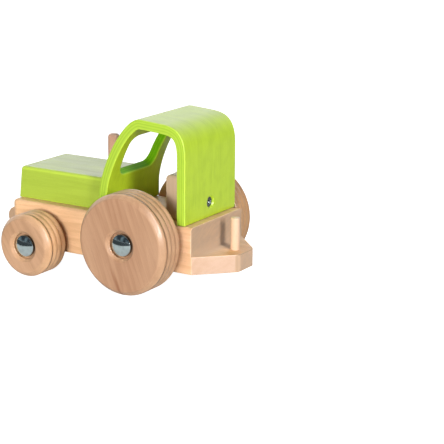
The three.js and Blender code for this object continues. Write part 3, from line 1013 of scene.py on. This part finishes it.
class SheetMesh:
    """A mesh of the bent sheet. Faces that use the same distance, across and depth share a vertex."""

    def __init__(self, skin):
        self.skin = skin
        self.bm = bmesh.new()
        self.sheet = layer_of(self.bm, "sheet", vector=True)
        self.layers = [layer_of(self.bm, name) for name in ("edge", "side", "cut")]
        self.known = {}

    def vert(self, distance, across, depth, finish=(0, 0, 0), place=None):
        """finish says how far the spot is a rounded edge, a side of the sheet, and cut wood."""
        key = (round(distance, 3), round(across, 3), round(depth, 3))
        if key not in self.known:
            flat = self.skin.inside_at(distance, depth) if place is None else place
            made = self.bm.verts.new((flat.x, across, flat.y))
            made[self.sheet] = (distance, across, depth)
            for layer, value in zip(self.layers, finish):
                made[layer] = value
            self.known[key] = made
        return self.known[key]

    def band(self, one, two, closed=True):
        """Faces between two rows of vertices."""
        for k in range(len(one) if closed else len(one) - 1):
            after = (k + 1) % len(one)
            corners = list(dict.fromkeys([one[k], one[after], two[after], two[k]]))
            if len(corners) > 2:
                self.bm.faces.new(corners)

    def skin_faces(self, depth, grid, holes):
        """One face of the sheet, triangulated round its holes. Each hole comes with its clear outline."""
        flat, edges = [], []
        for hole, _ in holes:
            first = len(flat)
            flat += hole
            edges += [(first + k, first + (k + 1) % len(hole)) for k in range(len(hole))]
        flat += [spot for spot in grid if not any(inside(spot, clear) for _, clear in holes)]
        points, _, triangles, *_ = geometry.delaunay_2d_cdt(flat, edges, [], 0, 1e-5)
        for triangle in triangles:
            middle = sum((points[i] for i in triangle), Vector((0, 0))) / 3
            if not any(inside(middle, hole) for hole, _ in holes):
                self.bm.faces.new([self.vert(points[i].x, points[i].y, depth) for i in triangle])


def inside(point, polygon):
    """Whether a point lies in a polygon: a ray from it crosses the outline an odd number of times."""
    x, y = point
    odd = False
    for a, b in zip(polygon, polygon[1:] + polygon[:1]):
        if (a[1] > y) != (b[1] > y) and x < (b[0] - a[0]) * (y - a[1]) / (b[1] - a[1]) + a[0]:
            odd = not odd
    return odd


def window_loop(grow):
    """The windscreen opening's outline (up the lean, across), grown outwards by grow, wider at the top."""
    corner = WINDOW_CORNER + grow
    high, wide = WINDOW_HALF_HEIGHT + grow - corner, WINDOW_HALF_WIDTH + grow - corner
    arcs = []
    for turn, (u, v) in enumerate(((high, wide), (-high, wide), (-high, -wide), (high, -wide))):
        angles = [math.radians(90 * (turn + k / WINDOW_CORNER_STEPS)) for k in range(WINDOW_CORNER_STEPS + 1)]
        arcs.append([Vector((u + corner * math.cos(a), v + corner * math.sin(a))) for a in angles])
    points = []
    for arc, following in zip(arcs, arcs[1:] + arcs[:1]):
        shares = [k / WINDOW_SIDE_STEPS for k in range(1, WINDOW_SIDE_STEPS)]
        points += arc + [arc[-1].lerp(following[0], share) for share in shares]
    return [Vector((u, v * (1 + WINDOW_FLARE * u))) for u, v in points]


def lip_ring(half):
    """The sheet's side from the outer face round to the inner face: across, depth, finish."""
    ring = [(half - PLY_LIP, 0.0, (0, 0, 0))]
    steps = 4
    for k in range(1, steps):
        angle = math.pi / 2 * k / steps
        finish = (1 - abs(2 * k / steps - 1), k / steps, 0)
        across = half - PLY_LIP + PLY_LIP * math.sin(angle)
        ring.append((across, PLY_LIP - PLY_LIP * math.cos(angle), finish))
    for k in range(PLY_LAYERS + 1):
        ring.append((half, PLY_LIP + (PLY - 2 * PLY_LIP) * k / PLY_LAYERS, (0, 1, 0)))
    return ring + [(y, PLY - depth, finish) for y, depth, finish in reversed(ring[:steps])]


def add_sides(sheet, stations, ring):
    for sign in (1, -1):
        strips = [[sheet.vert(s, sign * y, d, finish) for s in stations] for y, d, finish in ring]
        for one, two in zip(strips, strips[1:]):
            sheet.band(one, two, closed=False)


def add_foot(sheet, end, towards, rows, ring):
    """Closes the sheet at one end of its length, with its edges cut back by FOOT_LIP."""
    limit = sheet.skin.half_width - FOOT_LIP
    outline = [(y, 0.0) for y in rows] + [(y, d) for y, d, _ in ring[1:-1]]
    outline += [(y, PLY) for y in reversed(rows)] + [(-y, d) for y, d, _ in reversed(ring[1:-1])]
    foot = []
    for across, depth in outline:
        inner = (min(max(across, -limit), limit), min(max(depth, FOOT_LIP), PLY - FOOT_LIP))
        foot.append(sheet.vert(end + towards * FOOT_LIP, *inner, (0, 1, 0)))
    sheet.band([sheet.vert(end, y, d) for y, d in outline], foot)
    sheet.bm.faces.new(dict.fromkeys(foot))


def make_cab(material):
    """One bent sheet: two layered sides, two faces with their openings, the openings' rims, two feet."""
    skin = CabSkin()
    sheet = SheetMesh(skin)
    count = int(skin.length / SKIN_STEP)
    stations = [FOOT_LIP + (skin.length - 2 * FOOT_LIP) * k / count for k in range(count + 1)]
    ring = lip_ring(skin.half_width)
    add_sides(sheet, stations, ring)

    wide = skin.half_width - PLY_LIP
    rows = [-wide + 2 * wide * k / COLUMNS for k in range(COLUMNS + 1)]
    grid = [Vector((s, y)) for s in stations for y in rows]
    start = Vector((box_mm("rear_axle")[0].x + WINDOW_FORWARD, WINDOW_HEIGHT))
    up = Vector((-math.sin(WINDOW_LEAN), math.cos(WINDOW_LEAN)))
    out = Vector((math.cos(WINDOW_LEAN), math.sin(WINDOW_LEAN)))
    screw_at = skin.length - (screw_height() - skin.foot)

    def window(grow, depth):
        return [Vector((skin.crossing(start, up, p.x, depth), p.y)) for p in window_loop(grow)]

    def round_hole(radius):
        turns = [2 * math.pi * k / SCREW_HOLE_STEPS for k in range(SCREW_HOLE_STEPS)]
        return [Vector((screw_at + radius * math.cos(t), radius * math.sin(t))) for t in turns]

    def rim(grow, depth, inset, finish):
        """A row round the windscreen opening, set in from the face at that depth."""
        row = []
        towards = 1 if depth else -1
        for spot in window(grow, depth):
            place = skin.inside_at(spot.x, depth) + out * inset * towards
            row.append(sheet.vert(spot.x, spot.y, depth - towards * inset, finish, place))
        return row

    for depth, radius in ((0.0, SCREW_HOLE[0][0]), (PLY, SCREW_HOLE[-1][0])):
        opening = (window(WINDOW_LIP, depth), window(WINDOW_LIP + WINDOW_CLEAR, depth))
        screw_hole = (round_hole(radius), round_hole(radius + SCREW_CLEAR))
        sheet.skin_faces(depth, grid, [opening, screw_hole])

    step = 0.3 * WINDOW_LIP
    insets = ((WINDOW_LIP, 0.0, (0, 0, 0)), (step, step, (1, 0, 0.5)), (0.0, WINDOW_LIP, (0, 0, 1)))
    rims = [rim(grow, 0.0, inset, finish) for grow, inset, finish in insets]
    rims += [rim(grow, PLY, inset, finish) for grow, inset, finish in reversed(insets)]
    cone = [[sheet.vert(p.x, p.y, depth, (0.2, 0, 0)) for p in round_hole(r)] for r, depth in SCREW_HOLE]
    for opening in (rims, cone):
        for one, two in zip(opening, opening[1:]):
            sheet.band(one, two)

    add_foot(sheet, stations[0], -1, rows, ring)
    add_foot(sheet, stations[-1], 1, rows, ring)
    return finish_piece(sheet.bm, "cab_ply", material, "tractor", "green_ply", "cab_shell")


# ---- Assembly ----

make_camera()
make_world()
make_floor()
make_reflection_card()
make_light("softbox_right", 154, 20, (0.28, 0.5), 0.71)
fill = make_light("softbox_fill", 98, 8, (0.95, 0.4), 0.94)
fill.visible_glossy = False
strip = make_light("strip_high", 150, 46, (0.1, 0.8), 0.5)
strip.visible_diffuse = False

chassis_beech = wood("chassis_beech", BEECH, start=(5, 2, 3), lines=0.5, coat=0.0, step_height=SHELF_TOP)
seat_beech = wood("seat_beech", SEAT_BEECH, (0, 0, 1), start=(20, 7, 9))
bumper_beech = wood("bumper_beech", BEECH, (0, 1, 0), start=(13, 1, 4))
hitch_beech = wood("hitch_beech", PALE_BEECH, (0, 0, 1), start=(3, 11, 4), lines=0.2)
exhaust_beech = wood("exhaust_beech", EXHAUST_BEECH, (0, 0, 1), start=(8, 2, 1))
# The hood's rounded edges get a strong painted highlight, with some wear.
hood_green = wood("hood_green", GREEN_BEECH, start=(31, 5, 17), coat=0.27, wear_and_highlight_edge=(0.75, 1.35))
ply_green = green_ply("ply_green")
chrome = metal("cap_chrome", CHROME, roughness=0.05, smudge=0.08, scratch_mm=0.004, rim=CHROME_RIM_SHADE)
steel = metal("steel", STEEL, roughness=0.25, smudge=0.12, scratch_mm=0.01)
screw_steel = metal("screw_steel", SCREW_STEEL, roughness=0.22, smudge=0.12, scratch_mm=0.01)

make_chassis(chassis_beech)
make_hood(hood_green)
make_seat(seat_beech)
make_bumper(bumper_beech)
make_cab(ply_green)
make_screw(screw_steel)
make_peg("hitch_peg_wood", "hitch_peg", hitch_beech, HITCH_TOP_ROUND)
make_peg("exhaust_peg_wood", "exhaust_peg", exhaust_beech, EXHAUST_TOP_ROUND)
for end, side, lean, mark, shade in WHEELS:
    low, high = box_mm(f"{end}_wheel_{side}")
    middle = (low + high) / 2
    grain = (math.sin(math.radians(lean)), 0, math.cos(math.radians(lean)))
    tones, face_tint = WHEEL_WOODS[end]
    # shade darkens the far wheels: painted shade.
    tones = {part: tinted(color, shade) for part, color in tones.items()}
    name = f"{end}_{side}_wheel_beech"
    beech = wood(name, tones, grain, middle, middle, lines=0.45, coat=0.3, mark=mark, face_tint=face_tint)
    make_wheel(end, side, beech)
    make_cap(end, side, chrome)
    make_washer(end, side, steel)
for end in ("rear", "front"):
    make_axle(end, steel)

# The dowels, all hidden inside the joints, keep their CAD mesh.
for node in frame["nodes"].values():
    if not node.hide_render:
        node.data.materials.clear()
        node.data.materials.append(seat_beech)

scene.view_settings.view_transform = "Standard"
